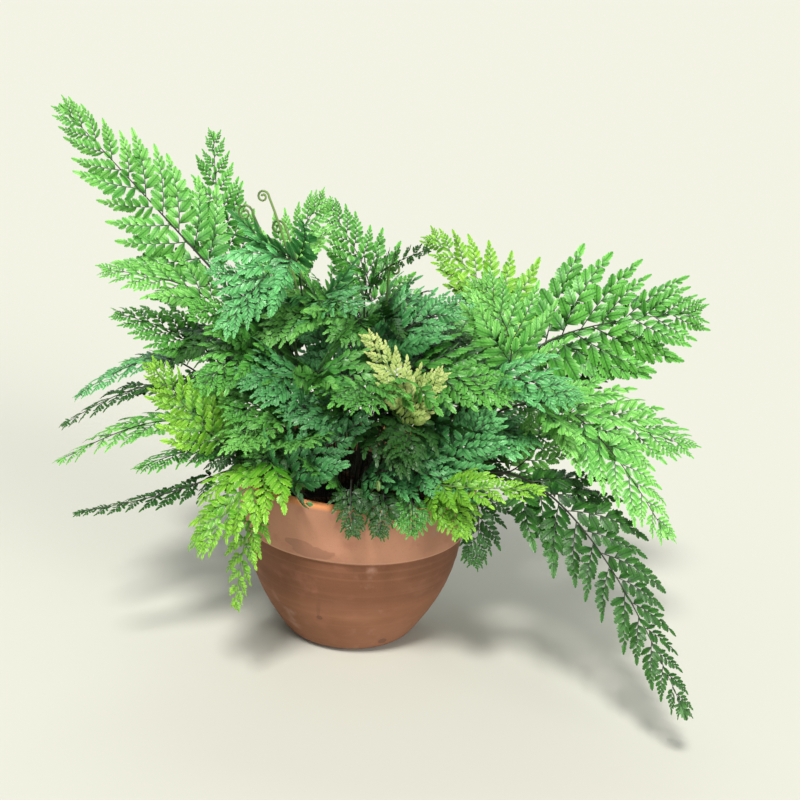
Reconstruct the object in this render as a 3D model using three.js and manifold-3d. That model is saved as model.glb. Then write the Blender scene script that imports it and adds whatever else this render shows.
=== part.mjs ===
// A leatherleaf fern growing in a terracotta pot: the pot, the soil in it and one mesh for each frond.
// Millimetres, +Z up. The pot stands on z = 0 round the Z axis, and -Y is the plant's front.
import * as THREE from "three";
import { mergeVertices } from "three/addons/utils/BufferGeometryUtils.js";
import Module from "manifold-3d";

const wasm = await Module();
wasm.setup();

// ---- Pot and soil ----
const POT_HEIGHT = 146;
const BAND_LOW = 96; // underside of the rim band
const RIM_R = 99.5; // outside of the lip
const BAND_R = 91.5; // outside of the band at its underside
const LEDGE = 2.5; // how far the band stands out over the body
const BASE_R = 51.5; // outside of the body carried down to the floor
const BASE_ROUND = 7.5; // rounding of the foot
const BELLY = 8.5; // swell of the body at half height
const WALL = 7.5;
const FLOOR_T = 9; // thickness of the pot's floor
const DRAIN_R = 6;
const DRAIN_OUT = 26; // distance of the three drain holes from the axis
const SOIL_TOP = 124; // soil level at the wall
const SOIL_MOUND = 3; // rise of the soil in the middle
const GAP = 0.3; // air between pieces that rest on each other
const ROUND_STEPS = 40;

// ---- Fronds ----
const STEM_HALF = 1.4; // half of a stem's width
const BLADE_THICK = 2.6; // blade thickness along its midrib
const EDGE_SAG = 0.16; // droop of a blade's edge, as a share of its half width
const KNEE = 0.45; // how far out along its stem a frond is at its knee
const FOLLOW = 0.3; // how long a blade holds its stem's direction, as a share of its length
const AIR = 0.5; // clearance cut into a blade that crosses another frond
const STEM_STEPS = [0, 0.2, 0.4, 0.6, 0.8, 0.97];
// Half width of a blade at shares of its length, as a share of its greatest half width.
const BLADE_OUTLINE = [
  [0.02, 0.3],
  [0.2, 1],
  [0.42, 0.78],
  [0.62, 0.52],
  [0.82, 0.25],
  [1, 0.02],
];

// Sections of a frond as shares of its half width and half thickness: the frond's own, and the
// blunt-edged one of the space it needs.
const SLIM = [[1, 0], [0, 1], [-1, 0], [0, -1]];
const BLUNT = [[1, 0.5], [0, 1], [-1, 0.5], [-1, -0.5], [0, -1], [1, -0.5]];

const YOUNG = 0x9ccf4a;
const LIGHT = 0x63a84c;
const MID = 0x3f8a45;
const BLUE = 0x4f9a78;
const DARK = 0x27633a;
const CREAM = 0xe3e0a0;

const UP = [0, 0, 1];
const FRONT = [0, -1, 0.6];
const FRONT_UP = [0, -1, 1.6];

// Each frond: name, foot [x, y] on the soil, knee height, shoulder where the blade starts, tip,
// blade breadth, the way its upper face looks, colour.
const FRONDS = [
  // tall ones round the crown
  ["crown_1", [-18, 34], 220, [-108, 72, 285], [-130, 95, 385], 74, FRONT, MID],
  ["crown_2", [-9, 25], 200, [-66, 60, 266], [-38, 75, 342], 84, FRONT, LIGHT],
  ["crown_3", [4, 36], 200, [4, 98, 252], [-38, 120, 328], 84, FRONT, MID],
  ["crown_4", [3, 10], 215, [-2, 20, 272], [45, -20, 324], 40, [1, 0.2, 0], DARK],
  ["crown_5", [30, 20], 165, [104, 30, 250], [44, 60, 320], 96, FRONT, YOUNG],
  ["crown_6", [-14, 4], 205, [-42, 12, 260], [-4, -52, 284], 94, FRONT_UP, BLUE],
  ["crown_7", [-26, -4], 225, [-54, 6, 298], [-105, -60, 262], 108, FRONT_UP, BLUE],
  ["crown_8", [-4, -12], 175, [-12, -22, 214], [-45, -30, 268], 68, FRONT, BLUE],
  ["crown_9", [22, 4], 160, [108, -35, 242], [82, -30, 306], 100, FRONT, LIGHT],
  ["crown_10", [12, -4], 185, [12, -24, 236], [80, -32, 292], 94, FRONT_UP, BLUE],
  ["crown_11", [10, -18], 165, [32, -74, 216], [0, -74, 272], 46, FRONT, CREAM],
  ["crown_12", [18, -26], 160, [30, -76, 206], [58, -78, 248], 42, FRONT, CREAM],
  // left
  ["left_1", [-24, 12], 235, [-126, 40, 288], [-235, 10, 410], 116, FRONT, LIGHT],
  ["left_2", [-34, 4], 220, [-120, 12, 266], [-202, -10, 292], 74, FRONT_UP, LIGHT],
  ["left_3", [-40, 16], 190, [-126, 14, 228], [-196, 10, 254], 66, FRONT_UP, MID],
  ["left_4", [-56, 18], 190, [-146, 20, 214], [-224, -20, 192], 56, UP, BLUE],
  ["left_5", [-60, 4], 180, [-150, 0, 198], [-230, -40, 175], 48, UP, DARK],
  ["left_6", [-62, -8], 170, [-138, -20, 178], [-225, -80, 161], 66, UP, LIGHT],
  ["left_7", [-56, -30], 162, [-108, -60, 150], [-207, -110, 134], 44, UP, DARK],
  ["left_8", [-50, -18], 165, [-104, -40, 168], [-165, -80, 160], 60, UP, MID],
  ["left_9", [-48, -36], 150, [-102, -62, 178], [-152, -90, 246], 68, FRONT, YOUNG],
  ["left_10", [-30, -8], 200, [-74, -12, 240], [-130, -42, 276], 80, FRONT_UP, MID],
  ["left_11", [-32, -20], 195, [-68, -20, 234], [-120, -76, 222], 90, FRONT_UP, MID],
  ["left_12", [-20, 22], 210, [-72, 10, 258], [-118, -16, 300], 76, FRONT_UP, BLUE],
  // right
  ["right_1", [42, 12], 200, [138, 30, 240], [257, 0, 283], 150, FRONT, MID],
  ["right_2", [48, 0], 175, [142, -14, 196], [248, -60, 195], 116, FRONT_UP, LIGHT],
  ["right_3", [38, -10], 200, [128, -44, 218], [230, -120, 141], 110, FRONT_UP, LIGHT],
  ["right_4", [54, -26], 172, [122, -72, 168], [243, -200, 38], 112, FRONT_UP, DARK],
  ["right_5", [40, 34], 165, [130, 34, 202], [200, 24, 230], 66, FRONT, DARK],
  ["right_6", [54, -12], 145, [112, -46, 160], [151, -62, 226], 78, FRONT, LIGHT],
  ["right_7", [58, 2], 170, [130, -42, 164], [174, -92, 166], 56, UP, DARK],
  ["right_8", [34, -22], 190, [90, -40, 228], [156, -84, 234], 90, FRONT_UP, BLUE],
  // front
  ["front_1", [-45, -46], 180, [-62, -82, 176], [-112, -142, 126], 96, UP, YOUNG],
  ["front_2", [-42, -50], 176, [-72, -104, 146], [-84, -132, 74], 44, UP, YOUNG],
  ["front_3", [-4, -62], 174, [-4, -94, 160], [0, -116, 133], 34, UP, DARK],
  ["front_4", [10, -60], 170, [20, -94, 158], [18, -116, 134], 34, UP, DARK],
  ["front_5", [24, -60], 172, [40, -93, 158], [42, -119, 138], 38, UP, MID],
  ["front_6", [30, -46], 160, [56, -90, 166], [134, -130, 182], 52, FRONT_UP, YOUNG],
  ["front_7", [44, -48], 172, [66, -78, 162], [78, -119, 138], 54, UP, YOUNG],
  ["front_8", [50, -38], 174, [86, -82, 158], [90, -114, 112], 56, UP, DARK],
  ["front_9", [-22, -38], 146, [-28, -66, 160], [-94, -80, 196], 80, FRONT, MID],
  ["front_10", [-26, -54], 142, [-46, -88, 156], [8, -86, 216], 74, FRONT, BLUE],
  ["front_11", [4, -46], 148, [2, -76, 158], [34, -100, 184], 54, FRONT_UP, BLUE],
  ["front_12", [-14, -46], 148, [-14, -72, 158], [-38, -104, 182], 52, FRONT_UP, MID],
  ["front_13", [40, -30], 146, [50, -56, 158], [98, -82, 218], 98, FRONT, BLUE],
  ["front_14", [0, -36], 165, [0, -60, 194], [-60, -78, 214], 72, FRONT_UP, BLUE],
  ["front_15", [-22, -26], 170, [-44, -46, 196], [-100, -74, 208], 84, FRONT_UP, MID],
  ["front_16", [-18, -32], 180, [-34, -58, 230], [28, -92, 230], 84, FRONT_UP, LIGHT],
  // back
  ["back_1", [40, 38], 215, [92, 78, 225], [165, 140, 200], 116, UP, MID],
  ["back_2", [24, 46], 220, [56, 104, 240], [110, 190, 215], 112, UP, LIGHT],
  ["back_3", [8, 52], 210, [10, 108, 222], [20, 205, 170], 112, UP, DARK],
  ["back_4", [-10, 50], 220, [-38, 108, 238], [-75, 195, 215], 112, UP, MID],
  ["back_5", [-34, 42], 212, [-86, 86, 222], [-160, 145, 195], 112, UP, BLUE],
  ["back_6", [-48, 30], 200, [-118, 58, 212], [-205, 95, 188], 84, UP, MID],
  ["back_7", [56, 20], 190, [122, 56, 196], [205, 100, 166], 90, UP, LIGHT],
  ["back_8", [30, 54], 172, [68, 88, 164], [115, 150, 108], 70, UP, MID],
  ["back_9", [-24, 58], 172, [-54, 96, 164], [-90, 165, 104], 70, UP, DARK],
];

function manifoldOf(geometry) {
  const g = geometry.clone();
  g.deleteAttribute("normal");
  g.deleteAttribute("uv");
  const merged = mergeVertices(g, 1e-4);
  return new wasm.Manifold(
    new wasm.Mesh({
      numProp: 3,
      vertProperties: new Float32Array(merged.attributes.position.array),
      triVerts: new Uint32Array(merged.index.array),
    }),
  );
}

function geometryOf(solid) {
  const m = solid.getMesh();
  const g = new THREE.BufferGeometry();
  g.setAttribute("position", new THREE.BufferAttribute(new Float32Array(m.vertProperties), 3));
  g.setIndex(new THREE.BufferAttribute(new Uint32Array(m.triVerts), 1));
  g.computeVertexNormals();
  return g;
}

// A solid of revolution from [radius, height] pairs, bottom to top on the outside.
function turned(profile) {
  const points = profile.map(([r, z]) => new THREE.Vector2(r, z));
  return new THREE.LatheGeometry(points, ROUND_STEPS).rotateX(Math.PI / 2);
}

// Outside radius of the pot's body at height z, with the foot rounded off.
function bodyRadius(z) {
  const u = z / BAND_LOW;
  const r = BASE_R + (BAND_R - LEDGE - BASE_R) * u + BELLY * Math.sin(Math.PI * u);
  const h = Math.max(BASE_ROUND - z, 0);
  return r - BASE_ROUND + Math.sqrt(BASE_ROUND ** 2 - h ** 2);
}

const innerRadius = (z) =>
  z < BAND_LOW
    ? bodyRadius(z) - WALL
    : THREE.MathUtils.mapLinear(z, BAND_LOW, POT_HEIGHT, BAND_R - LEDGE - WALL, RIM_R - WALL - 1);

function potGeometry() {
  const outside = [0, 1, 2.8, 5.2, 8, 20, 34, 48, 62, 78, BAND_LOW].map((z) => [bodyRadius(z), z]);
  const band = [
    [BAND_R, BAND_LOW + 0.8],
    [RIM_R - 0.3, POT_HEIGHT - 5],
    [RIM_R, POT_HEIGHT - 3],
    [RIM_R - 1.2, POT_HEIGHT - 0.8],
    [RIM_R - 3, POT_HEIGHT],
    [RIM_R - WALL + 0.6, POT_HEIGHT],
  ];
  const inside = [POT_HEIGHT - 2, BAND_LOW, 74, 52, 34, 20, FLOOR_T + 3].map((z) => [innerRadius(z), z]);
  const floor = [[innerRadius(FLOOR_T + 3) - 4, FLOOR_T], [0, FLOOR_T]];
  let pot = manifoldOf(turned([[0, 0], ...outside, ...band, ...inside, ...floor]));
  for (const turn of [90, 210, 330]) {
    const a = THREE.MathUtils.degToRad(turn);
    const hole = new THREE.CylinderGeometry(DRAIN_R, DRAIN_R, 3 * FLOOR_T, 16).rotateX(Math.PI / 2);
    hole.translate(DRAIN_OUT * Math.cos(a), DRAIN_OUT * Math.sin(a), 0);
    pot = pot.subtract(manifoldOf(hole));
  }
  return geometryOf(pot);
}

function soilGeometry() {
  const low = FLOOR_T + GAP;
  const side = [FLOOR_T + 3, 20, 34, 52, 74, BAND_LOW, SOIL_TOP].map((z) => [innerRadius(z) - GAP - 0.2, z]);
  const top = [[50, SOIL_TOP + 0.7 * SOIL_MOUND], [0, SOIL_TOP + SOIL_MOUND]];
  return turned([[0, low], [side[0][0] - 4.2, low], ...side, ...top]);
}

const bend = (a, k, b, t) => new THREE.QuadraticBezierCurve3(a, k, b).getPoint(t);

// The spine of a frond: its stem leaves the soil, leans out over a knee and runs on into the blade.
function spineOf([, foot, rise, shoulder, tip]) {
  const f = new THREE.Vector3(foot[0], foot[1], SOIL_TOP - 1);
  const s = new THREE.Vector3(...shoulder);
  const t = new THREE.Vector3(...tip);
  const knee = f.clone().lerp(s, KNEE).setZ(rise);
  const follow = s.clone().sub(knee).normalize();
  const mid = s.clone().addScaledVector(follow, FOLLOW * s.distanceTo(t));
  return {
    stem: (u) => bend(f, knee, s, u),
    blade: (u) => bend(s, mid, t, u),
  };
}

// One closed solid: a thin stem that widens into a flat blade. With extra > 0 it is the space round
// the frond, that much larger all round, and with bladed false it keeps the stem's width.
function frondGeometry(row, extra, bladed) {
  const breadth = row[5];
  const spine = spineOf(row);
  const chord = spine.blade(1).sub(spine.blade(0)).normalize();
  const across = chord.cross(new THREE.Vector3(...row[6])).normalize();
  const stations = [
    ...STEM_STEPS.map((u) => ({ at: spine.stem, u, half: STEM_HALF })),
    ...BLADE_OUTLINE.map(([u, share]) => ({
      at: spine.blade,
      u,
      half: bladed ? Math.max(STEM_HALF * (1 - 0.7 * u), (share * breadth) / 2) : STEM_HALF * (1 - 0.7 * u),
    })),
  ];
  const section = extra ? BLUNT : SLIM;
  const n = section.length;
  const corners = [];
  const faces = [];
  stations.forEach(({ at, u, half }, i) => {
    const here = at(u);
    const along = at(Math.min(u + 0.02, 1)).sub(at(Math.max(u - 0.02, 0))).normalize();
    if (extra && i === stations.length - 1) here.addScaledVector(along, extra);
    const side = across.clone().addScaledVector(along, -across.dot(along)).normalize();
    const up = side.clone().cross(along);
    const onBlade = at === spine.blade;
    const thick = (onBlade ? BLADE_THICK * (1 - 0.6 * u) : 2 * STEM_HALF) / 2 + extra;
    const sag = onBlade && bladed ? EDGE_SAG * half : 0;
    for (const [a, b] of section) {
      const corner = here
        .clone()
        .addScaledVector(side, a * (half + extra))
        .addScaledVector(up, b * thick - Math.abs(a) * sag);
      corners.push(...corner.toArray());
    }
    if (i === 0) return;
    for (let k = 0; k < n; k++) {
      const p = n * (i - 1) + k;
      const q = n * (i - 1) + ((k + 1) % n);
      faces.push(p, q + n, q, p, p + n, q + n);
    }
  });
  const last = n * (stations.length - 1);
  for (let k = 1; k < n - 1; k++) faces.push(0, k, k + 1, last, last + k + 1, last + k);
  const g = new THREE.BufferGeometry();
  g.setAttribute("position", new THREE.Float32BufferAttribute(corners, 3));
  g.setIndex(faces);
  return g;
}

// Fronds that cross are cut clear of each other: a blade opens round every other stem, and the
// later of two crossing blades gives way. The piece that keeps the stem is the frond.
function clearedFronds() {
  const full = FRONDS.map((row) => manifoldOf(frondGeometry(row, 0, true)));
  const wide = FRONDS.map((row) => manifoldOf(frondGeometry(row, AIR, true)));
  const stems = FRONDS.map((row) => manifoldOf(frondGeometry(row, 2 * AIR, false)));
  const cores = FRONDS.map((row) => manifoldOf(frondGeometry(row, AIR / 4, false)));
  const potClear = manifoldOf(turned([[0, -1], [62, -1], [97, BAND_LOW - 2], [RIM_R + 1, POT_HEIGHT - 6],
    [RIM_R + 1, POT_HEIGHT + 0.8], [0, POT_HEIGHT + 0.8]]));
  const bowl = manifoldOf(turned([[0, SOIL_TOP - 20], [RIM_R - WALL - 4, SOIL_TOP - 20],
    [RIM_R - WALL - 2.5, POT_HEIGHT + 2], [0, POT_HEIGHT + 2]]));
  const soil = manifoldOf(soilGeometry().translate(0, 0, GAP));
  const kept = potClear.subtract(bowl).add(soil);
  return FRONDS.map((row, i) => {
    let solid = full[i].subtract(kept);
    for (let k = 0; k < FRONDS.length; k++) {
      if (k !== i) solid = solid.subtract(stems[k]);
    }
    for (let j = 0; j < i; j++) {
      let cutter = wide[j];
      if (cutter.intersect(solid).isEmpty()) continue;
      cutter = cutter.subtract(cores[i]);
      solid = solid.subtract(cutter);
    }
    const parts = solid.decompose().sort((a, b) => b.volume() - a.volume());
    return parts[0];
  });
}

const plant = new THREE.Group();

function add(name, geometry, color, roughness) {
  const material = new THREE.MeshStandardMaterial({ color, roughness, metalness: 0 });
  material.name = name;
  const mesh = new THREE.Mesh(geometry, material);
  mesh.name = name;
  plant.add(mesh);
}

add("pot", potGeometry(), 0xb06a44, 0.85);
add("soil", soilGeometry(), 0x2c2019, 0.95);
clearedFronds().forEach((solid, i) => {
  add("frond_" + FRONDS[i][0], geometryOf(solid), FRONDS[i][7], 0.45);
});

export default plant;
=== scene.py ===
# %% [markdown]
# A leatherleaf fern in a terracotta pot. The pot, the soil and every frond already exist as plain
# solids with the right size and place. Here each of them gets its true surface: fronds divided
# three times into small toothed leaflets, fired clay with its stains, and loose potting soil.

# %% Load the frame
import math

import bpy
import numpy as np
from mathutils import Matrix, Vector


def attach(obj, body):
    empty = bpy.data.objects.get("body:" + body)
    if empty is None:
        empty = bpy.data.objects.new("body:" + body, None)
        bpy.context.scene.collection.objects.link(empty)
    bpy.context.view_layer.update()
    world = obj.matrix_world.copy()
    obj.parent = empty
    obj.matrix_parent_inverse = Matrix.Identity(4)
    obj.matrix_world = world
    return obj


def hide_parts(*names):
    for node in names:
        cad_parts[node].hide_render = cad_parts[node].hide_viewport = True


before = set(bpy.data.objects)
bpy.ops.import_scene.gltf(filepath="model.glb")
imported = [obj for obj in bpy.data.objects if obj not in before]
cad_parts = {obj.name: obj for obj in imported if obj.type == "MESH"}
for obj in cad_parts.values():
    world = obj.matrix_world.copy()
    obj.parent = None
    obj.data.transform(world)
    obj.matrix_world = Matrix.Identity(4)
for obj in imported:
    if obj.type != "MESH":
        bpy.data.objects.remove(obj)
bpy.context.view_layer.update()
MM = 0.001

# %% [markdown]
# The camera looks slightly down on the plant from the front, a little over a metre away. It is
# rolled by a few degrees, because the pot is seen leaning. The shift only sets the framing, so the
# camera can keep looking at the middle of the plant.

# %% Camera
LOOK_AT = Vector((0.0, 0.0, 0.09))
LOOK_DISTANCE = 1.10
LOOK_DOWN = math.radians(23.5)
ROLL = math.radians(3.3)
LENS_MM = 60.3
SHIFT_X = 0.0575
SHIFT_Y = 0.156

camera_data = bpy.data.cameras.new("camera")
camera_data.lens = LENS_MM
camera_data.shift_x = SHIFT_X
camera_data.shift_y = SHIFT_Y
camera = bpy.data.objects.new("camera", camera_data)
bpy.context.scene.collection.objects.link(camera)
right = Vector((1, 0, 0))
back = Vector((0, -math.cos(LOOK_DOWN), math.sin(LOOK_DOWN)))
up = back.cross(right)
rolled_right = right * math.cos(ROLL) + up * math.sin(ROLL)
rolled_up = up * math.cos(ROLL) - right * math.sin(ROLL)
basis = Matrix((rolled_right, rolled_up, back)).transposed().to_4x4()
camera.matrix_world = Matrix.Translation(LOOK_AT + back * LOOK_DISTANCE) @ basis
bpy.context.scene.camera = camera
print("camera at", [round(v, 3) for v in camera.matrix_world.translation])

# %% [markdown]
# Leaves need light from more than one side: a broad light from above the front left models them, a
# weaker one from the right opens the shadows, and a cool one from behind puts a sheen on them.
# Lamps near the plant would leave a bright pool on the floor. These are as far away as the sun, so
# the floor keeps one tone everywhere.

# %% Lights
LIGHTS = {
    # name: (direction it shines in, width in degrees, strength, colour)
    "key_light": ((0.22, 0.78, -1.25), 12, 3.45, (1.0, 0.98, 0.94)),
    "fill_light": ((-0.75, 0.80, -0.42), 30, 1.85, (1.0, 0.99, 0.97)),
    "sheen_light": ((0.15, -0.9, -0.9), 30, 0.7, (0.86, 0.96, 1.0)),
}


def add_light(name, towards, width, strength, colour):
    """A distant light shining along a direction. A wider source gives softer shadows."""
    data = bpy.data.lights.new(name, "SUN")
    data.angle = math.radians(width)
    data.energy = strength
    data.color = colour
    light = bpy.data.objects.new(name, data)
    light.rotation_euler = Vector(towards).to_track_quat("-Z", "Y").to_euler()
    bpy.context.scene.collection.objects.link(light)


for name, settings in LIGHTS.items():
    add_light(name, *settings)
print("lights:", ", ".join(LIGHTS))

# %% [markdown]
# The studio's walls do two things. They light the plant faintly from all round, in white, and they
# are seen behind it, in a pale cream. One background can't be both, so there are two, and rays
# from the camera choose the cream one. The floor's shade is set so that the two meet without a line.

# %% Surround
PALE = (0.90, 0.90, 0.80)
SURROUND = 0.36

world = bpy.data.worlds.new("surround")
world.use_nodes = True
nodes, links = world.node_tree.nodes, world.node_tree.links
lighting = nodes["Background"]
lighting.inputs["Color"].default_value = (1, 1, 1, 1)
lighting.inputs["Strength"].default_value = SURROUND
seen = nodes.new("ShaderNodeBackground")
seen.inputs["Color"].default_value = (*PALE, 1)
seen.inputs["Strength"].default_value = 1.0
choose = nodes.new("ShaderNodeMixShader")
links.new(nodes.new("ShaderNodeLightPath").outputs["Is Camera Ray"], choose.inputs["Fac"])
links.new(lighting.outputs[0], choose.inputs[1])
links.new(seen.outputs[0], choose.inputs[2])
links.new(choose.outputs[0], nodes["World Output"].inputs["Surface"])
bpy.context.scene.world = world
bpy.context.scene.view_settings.view_transform = "Standard"
print("surround lights with", SURROUND, "and shows", PALE)

# %% [markdown]
# A fern has tens of thousands of leaflets, so they can't be made one by one. This helper takes
# whole arrays: the points of many copies of one pattern, its faces, and for each copy a tint and an
# age. Each face corner has two places: one on its leaf, which the veins follow, and one in a grid
# where every copy has a square of its own, so that a finish can be stored without overlap.

# %% From arrays to a piece


class Parts:
    """Blocks of points and faces that become one mesh, in millimetres. Leaflets shorter than
    plain_below get the pattern with fewer teeth."""

    def __init__(self, plain_below=0.0):
        self.plain_below = plain_below
        self.points, self.corners, self.starts, self.slots = [], [], [], []
        self.leaf_places, self.cell_places, self.values = [], [], []
        self.n_points = self.n_corners = 0

    def add(self, points, faces, leaf, cell, slot, values):
        """points (copies, n, 3) share one list of faces; leaf and cell give each face corner its
        place on the leaf and in the copy's own square; values (copies, 2) are tint and age."""
        copies, n = points.shape[:2]
        copy = np.arange(copies)[:, None]
        flat = np.concatenate([np.asarray(face) for face in faces])
        sizes = np.array([len(face) for face in faces])
        first = np.concatenate([[0], np.cumsum(sizes)[:-1]])
        self.points.append(points.reshape(-1, 3))
        self.corners.append((flat + self.n_points + n * copy).reshape(-1))
        self.starts.append((first + self.n_corners + len(flat) * copy).reshape(-1))
        self.slots.append(np.full(copies * len(faces), slot))
        self.leaf_places.append(np.tile(leaf, (copies, 1)))
        self.cell_places.append(np.broadcast_to(cell, (copies, *cell.shape)))
        self.values.append(np.repeat(values, n, axis=0))
        self.n_points += copies * n
        self.n_corners += copies * len(flat)

    def grid_places(self):
        """Copy number i goes to column i mod side and row i div side of a square grid."""
        count = sum(len(block) for block in self.cell_places)
        side = math.ceil(math.sqrt(count))
        done, placed = 0, []
        for block in self.cell_places:
            index = done + np.arange(len(block))
            corner = np.stack([index % side, index // side], 1)[:, None, :]
            placed.append(((corner + block) / side).reshape(-1, 2))
            done += len(block)
        return np.concatenate(placed)

    def build(self, name, materials, sharp=40):
        """Makes the mesh and its object. Edges that bend more than sharp degrees stay crisp."""
        mesh = bpy.data.meshes.new(name)
        points = np.concatenate(self.points) * MM
        corners, starts = np.concatenate(self.corners), np.concatenate(self.starts)
        mesh.vertices.add(len(points))
        mesh.vertices.foreach_set("co", points.astype(np.float32).ravel())
        mesh.loops.add(len(corners))
        mesh.loops.foreach_set("vertex_index", corners.astype(np.int32))
        mesh.polygons.add(len(starts))
        mesh.polygons.foreach_set("loop_start", starts.astype(np.int32))
        mesh.polygons.foreach_set("material_index", np.concatenate(self.slots).astype(np.int32))
        mesh.polygons.foreach_set("use_smooth", np.ones(len(starts), bool))
        mesh.update(calc_edges=True)
        leaf_places = np.concatenate(self.leaf_places)
        for label, places in (("OFBake", self.grid_places()), ("leaf", leaf_places)):
            layer = mesh.uv_layers.new(name=label)
            layer.data.foreach_set("uv", places.astype(np.float32).ravel())
        values = np.concatenate(self.values).astype(np.float32)
        for column, label in enumerate(("tint", "age")):
            attribute = mesh.attributes.new(label, "FLOAT", "POINT")
            attribute.data.foreach_set("value", np.ascontiguousarray(values[:, column]))
        mesh.set_sharp_from_angle(angle=math.radians(sharp))
        return placed_piece(name, mesh, materials)


def placed_piece(name, mesh, materials):
    """An object for a mesh whose place is in its points."""
    for material in materials:
        mesh.materials.append(material)
    piece = bpy.data.objects.new(name, mesh)
    bpy.context.scene.collection.objects.link(piece)
    return piece


print("a piece collects:", ", ".join(vars(Parts())))

# %% [markdown]
# Two small helpers are used everywhere: one makes directions one unit long, and one counts a
# piece's triangles, because a face with n sides is drawn as n - 2 triangles.

# %% Directions and triangle counts


def unit(v):
    """Vectors divided by their own lengths."""
    return v / np.maximum(np.linalg.norm(v, axis=-1, keepdims=True), 1e-9)


def triangles(piece):
    """The sum over a piece's faces of their sides less two."""
    sides = np.empty(len(piece.data.polygons), np.int32)
    piece.data.polygons.foreach_get("loop_total", sides)
    return int((sides - 2).sum())


print("the direction of (3, 4, 0):", unit(np.array([3.0, 4.0, 0.0])))

# %% [markdown]
# Every finish here is worked out by nodes, and a node takes several lines to place and wire. These
# helpers make each step one short call, so that a material reads from top to bottom like a recipe.

# %% Short names for shader nodes


def feed(tree, socket, value):
    """Wires an output into a socket, or sets the socket to a plain value."""
    if isinstance(value, bpy.types.NodeSocket):
        tree.links.new(value, socket)
    else:
        socket.default_value = value


def wire(tree, kind, settings=None, **sockets):
    """Adds a node. Sockets are given by name, with spaces written as _."""
    node = tree.nodes.new(kind)
    for key, value in (settings or {}).items():
        setattr(node, key, value)
    for key, value in sockets.items():
        feed(tree, node.inputs[key.replace("_", " ")], value)
    return node


def math_node(tree, operation, a, b=0.0, clamp=False):
    """One step of arithmetic."""
    node = wire(tree, "ShaderNodeMath", {"operation": operation, "use_clamp": clamp})
    feed(tree, node.inputs[0], a)
    feed(tree, node.inputs[1], b)
    return node.outputs[0]


def times(tree, a, b):
    """a times b."""
    return math_node(tree, "MULTIPLY", a, b)


def plus(tree, a, b):
    """a plus b."""
    return math_node(tree, "ADD", a, b)


def minus(tree, a, b):
    """a less b."""
    return math_node(tree, "SUBTRACT", a, b)


def blend(tree, amount, a, b):
    """A mix of two colours: a where the amount is 0, b where it is 1."""
    node = wire(tree, "ShaderNodeMix", {"data_type": "RGBA"})
    for place, value in ((0, amount), (6, a), (7, b)):
        feed(tree, node.inputs[place], value)
    return node.outputs[2]


def tinted(tree, base, mask, strength, colour):
    """A base colour turned towards another by strength where the mask is 1."""
    return blend(tree, times(tree, mask, strength), base, colour)


def ramp(tree, value, low, high):
    """Rises smoothly from 0 at low to 1 at high, or falls if low is the larger."""
    settings = {"interpolation_type": "SMOOTHSTEP"}
    return wire(tree, "ShaderNodeMapRange", settings, Value=value, From_Min=low, From_Max=high).outputs[0]


def noise(tree, vector, scale, detail=2.0):
    """Cloudy variation from 0 to 1; scale is the number of repeats in a unit of the vector."""
    return wire(tree, "ShaderNodeTexNoise", None, Vector=vector, Scale=scale, Detail=detail).outputs["Fac"]


def add_bump(tree, shader, height, strength, distance):
    """Turns a height into the shader's normal."""
    bump = wire(tree, "ShaderNodeBump", None, Height=height, Strength=strength, Distance=distance)
    tree.links.new(bump.outputs["Normal"], shader.inputs["Normal"])


def new_material(name):
    """A material with its node tree, its Principled shader and its object coordinates."""
    material = bpy.data.materials.new(name)
    material.use_nodes = True
    tree = material.node_tree
    place = tree.nodes.new("ShaderNodeTexCoord").outputs["Object"]
    return material, tree, tree.nodes["Principled BSDF"], place


print("materials before the first leaf:", len(bpy.data.materials))

# %% [markdown]
# All leaves share one way of colouring, so it is a node group. A leaflet has a thin dark midrib,
# side veins that slant off it, a darker foot and a paler rim, which is a painted highlight. Its tint
# and its age move it between a deep and a fresh green, and leaves near the middle of the clump are
# darkened by painted shade. The group works on the leaf's own coordinates, along and across it, so
# the veins follow every leaflet.

# %% Leaf tissue
LEAF_INPUTS = {
    "Along": ("NodeSocketFloat", 0.5),
    "Across": ("NodeSocketFloat", 0.0),
    "Tint": ("NodeSocketFloat", 0.5),
    "Age": ("NodeSocketFloat", 0.5),
    "Place": ("NodeSocketVector", None),
    "Deep": ("NodeSocketColor", (0.02, 0.12, 0.03, 1)),
    "Fresh": ("NodeSocketColor", (0.08, 0.3, 0.05, 1)),
    "Rim highlight": ("NodeSocketColor", (0.15, 0.4, 0.1, 1)),
    "Midrib": ("NodeSocketColor", (0.01, 0.03, 0.01, 1)),
}
LEAF_OUTPUTS = {"Colour": "NodeSocketColor", "Roughness": "NodeSocketFloat", "Height": "NodeSocketFloat"}
SIDE_VEINS = 6.0
VEIN_SLANT = 1.7
# Painted shade: leaves within 65 mm of this point are darkened in full, fading out by 155 mm.
CLUMP_CORE = (0.0, -0.01, 0.17)
CORE_DARK_TO, CORE_DARK_FROM = 0.155, 0.065


def new_group(name, inputs, outputs):
    """An empty shader node group with named inputs (socket type, default) and outputs."""
    group = bpy.data.node_groups.new(name, "ShaderNodeTree")
    for label, (kind, default) in inputs.items():
        socket = group.interface.new_socket(label, in_out="INPUT", socket_type=kind)
        if default is not None:
            socket.default_value = default
    for label, kind in outputs.items():
        group.interface.new_socket(label, in_out="OUTPUT", socket_type=kind)
    return group, group.nodes.new("NodeGroupInput"), group.nodes.new("NodeGroupOutput")


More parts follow.
